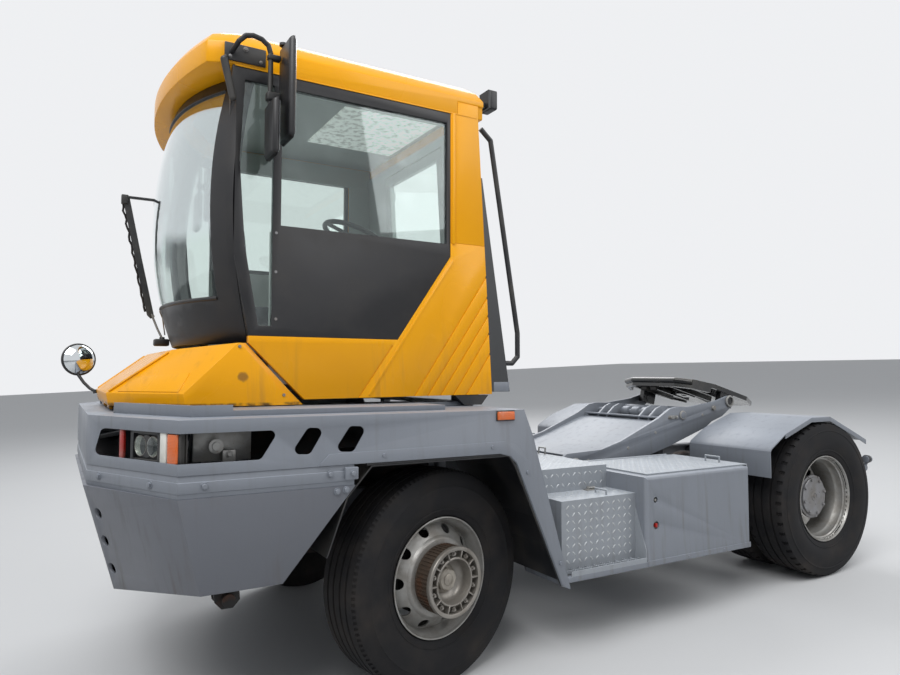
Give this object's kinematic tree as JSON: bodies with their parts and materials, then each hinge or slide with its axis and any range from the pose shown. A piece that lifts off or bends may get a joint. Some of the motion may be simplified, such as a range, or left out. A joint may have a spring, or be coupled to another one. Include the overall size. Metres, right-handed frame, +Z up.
{
  "type": "terminal tractor",
  "caption": "Terminal tractor: set-back cab over steered front wheels, twin rear wheels, and a lifting boom that carries a tilting fifth wheel.",
  "frame": {"origin": "centre of the whole machine's bounding box, on the ground", "axes": "+X forward, +Y to the machine's left, +Z up"},
  "size_m": [5.3028, 2.5276, 3.2993],
  "materials": {
    "yellow_paint": "gloss, lightly worn",
    "grey_paint": "satin",
    "cab_grey_paint": "satin",
    "tyre_rubber": "matt",
    "rim_silver": "satin silver, dusty",
    "cab_glass": "clear",
    "rod_chrome": "polished",
    "running_gear_iron": "oily",
    "seat_cloth": "woven",
    "lamp_plastic": "clear lenses",
    "black_plastic": "grained"
  },
  "bodies": {
    "chassis": {"frame_rails": "grey_paint", "frame_crossmembers": "grey_paint", "engine_block": "running_gear_iron", "front_axle_beam": "running_gear_iron", "front_springs": "running_gear_iron", "rear_axle_casing": "running_gear_iron", "front_wing_left": "grey_paint", "front_wing_right": "grey_paint", "nose_panel": "grey_paint", "arch_liners": "black_plastic", "lower_bumper": "grey_paint", "bumper_rail": "grey_paint", "cab_plinth": "grey_paint", "side_box_left": "grey_paint", "side_box_right": "grey_paint", "side_steps": "grey_paint", "deck_plate": "grey_paint", "rear_mudguards": "grey_paint", "headlamps": "lamp_plastic"},
    "cab": {"cab_floor": "black_plastic", "cab_hood": "yellow_paint", "cab_sides": "yellow_paint", "window_frames": "black_plastic", "side_windows": "cab_glass", "screen_surround": "black_plastic", "windscreen": "cab_glass", "cab_back_wall": "cab_grey_paint", "cab_roof": "yellow_paint", "mirrors": "black_plastic", "wiper": "black_plastic", "rear_fins": "grey_paint", "cab_rail_and_lamp": "black_plastic"},
    "knuckle_left": {"knuckle_left": "running_gear_iron"},
    "knuckle_right": {"knuckle_right": "running_gear_iron"},
    "tie_rod": {"tie_rod": "running_gear_iron"},
    "front_wheel_left": {"front_tyre_left": "tyre_rubber", "front_rim_left": "rim_silver"},
    "front_wheel_right": {"front_tyre_right": "tyre_rubber", "front_rim_right": "rim_silver"},
    "rear_wheels_left": {"rear_tyres_left": "tyre_rubber", "rear_rims_left": "rim_silver"},
    "rear_wheels_right": {"rear_tyres_right": "tyre_rubber", "rear_rims_right": "rim_silver"},
    "boom": {"lift_boom": "grey_paint"},
    "coupling_plate": {"fifth_wheel": "grey_paint"},
    "lift_barrel_left": {"lift_barrel_left": "grey_paint"},
    "lift_barrel_right": {"lift_barrel_right": "grey_paint"},
    "lift_rod_left": {"lift_rod_left": "rod_chrome"},
    "lift_rod_right": {"lift_rod_right": "rod_chrome"},
    "rear_door": {"rear_door": "cab_grey_paint", "rear_door_glass": "cab_glass"},
    "box_lid_left": {"box_lid_left": "grey_paint"},
    "box_lid_right": {"box_lid_right": "grey_paint"},
    "driver_station": {"driver_station": "seat_cloth", "steering_console": "black_plastic"}
  },
  "joints": [
    {"name": "steer_left", "type": "hinge", "parent": "chassis", "child": "knuckle_left", "pos_m": [1.06207, 0.8, 0.53907], "axis": [-0.0453, 0, 0.999], "range_deg": [-49.6, 26.4]},
    {"name": "steer_right", "type": "hinge", "parent": "chassis", "child": "knuckle_right", "pos_m": [1.06207, -0.8, 0.53907], "axis": [-0.0453, 0, 0.999], "range_deg": [-49.6, 26.4]},
    {"name": "tie_rod_ball", "type": "hinge", "parent": "knuckle_left", "child": "tie_rod", "pos_m": [0.84098, 0.75375, 0.44097], "axis": [-0.0453, 0, 0.999], "range_deg": [-26.4, 49.6]},
    {"name": "roll_front_left", "type": "hinge", "parent": "knuckle_left", "child": "front_wheel_left", "pos_m": [1.03054, 0.95379, 0.53765], "axis": [-0.2009, 0.9796, -0.0091], "continuous": true},
    {"name": "roll_front_right", "type": "hinge", "parent": "knuckle_right", "child": "front_wheel_right", "pos_m": [1.09361, -0.95379, 0.5405], "axis": [-0.2009, 0.9796, -0.0091], "continuous": true},
    {"name": "roll_rear_left", "type": "hinge", "parent": "chassis", "child": "rear_wheels_left", "pos_m": [-2.0311, 1.108, 0.53907], "axis": [0, 1, 0], "continuous": true},
    {"name": "roll_rear_right", "type": "hinge", "parent": "chassis", "child": "rear_wheels_right", "pos_m": [-2.0311, -1.108, 0.53907], "axis": [0, 1, 0], "continuous": true},
    {"name": "boom_lift", "type": "hinge", "parent": "chassis", "child": "boom", "pos_m": [-0.40941, 0, 0.86981], "axis": [0, 1, 0], "range_deg": [0, 16]},
    {"name": "plate_tilt", "type": "hinge", "parent": "boom", "child": "coupling_plate", "pos_m": [-2.04585, 0, 1.19608], "axis": [0, 1, 0], "range_deg": [0, 27]},
    {"name": "lift_swing_left", "type": "hinge", "parent": "chassis", "child": "lift_barrel_left", "pos_m": [-1.41637, 0.23, 0.55892], "axis": [0, 1, 0], "range_deg": [0, 10.19]},
    {"name": "lift_stroke_left", "type": "slide", "parent": "lift_barrel_left", "child": "lift_rod_left", "axis": [-0.1324, 0, 0.9912], "range_m": [0, 0.28619]},
    {"name": "lift_swing_right", "type": "hinge", "parent": "chassis", "child": "lift_barrel_right", "pos_m": [-1.41637, -0.23, 0.55892], "axis": [0, 1, 0], "range_deg": [0, 10.19]},
    {"name": "lift_stroke_right", "type": "slide", "parent": "lift_barrel_right", "child": "lift_rod_right", "axis": [-0.1324, 0, 0.9912], "range_m": [0, 0.28619]},
    {"name": "cab_tilt", "type": "hinge", "parent": "chassis", "child": "cab", "pos_m": [2.41908, 0, 1.45343], "axis": [0, 1, 0], "range_deg": [0, 45]},
    {"name": "rear_door_swing", "type": "hinge", "parent": "cab", "child": "rear_door", "pos_m": [0.47206, -0.415, 2.27615], "axis": [0.013, 0, 0.9999], "range_deg": [0, 95]},
    {"name": "lid_left", "type": "hinge", "parent": "chassis", "child": "box_lid_left", "pos_m": [-0.79052, 0.58, 0.88588], "axis": [0.999, 0, 0.0453], "range_deg": [0, 90]},
    {"name": "lid_right", "type": "hinge", "parent": "chassis", "child": "box_lid_right", "pos_m": [-0.79052, -0.58, 0.88588], "axis": [-0.999, 0, -0.0453], "range_deg": [0, 90]},
    {"name": "station_swivel", "type": "hinge", "parent": "cab", "child": "driver_station", "pos_m": [1.3432, 0, 1.5148], "axis": [-0.0453, 0, 0.999], "range_deg": [0, 180]}
  ],
  "couplings": [
    {"joint": "steer_right", "follows": "steer_left", "ratio": 1},
    {"joint": "tie_rod_ball", "follows": "steer_left", "ratio": -1},
    {"joint": "lift_swing_left", "follows": "boom_lift", "ratio": 0.63641},
    {"joint": "lift_stroke_left", "follows": "boom_lift", "m_per_rad": 1.023},
    {"joint": "lift_swing_right", "follows": "boom_lift", "ratio": 0.63641},
    {"joint": "lift_stroke_right", "follows": "boom_lift", "m_per_rad": 1.023}
  ]
}
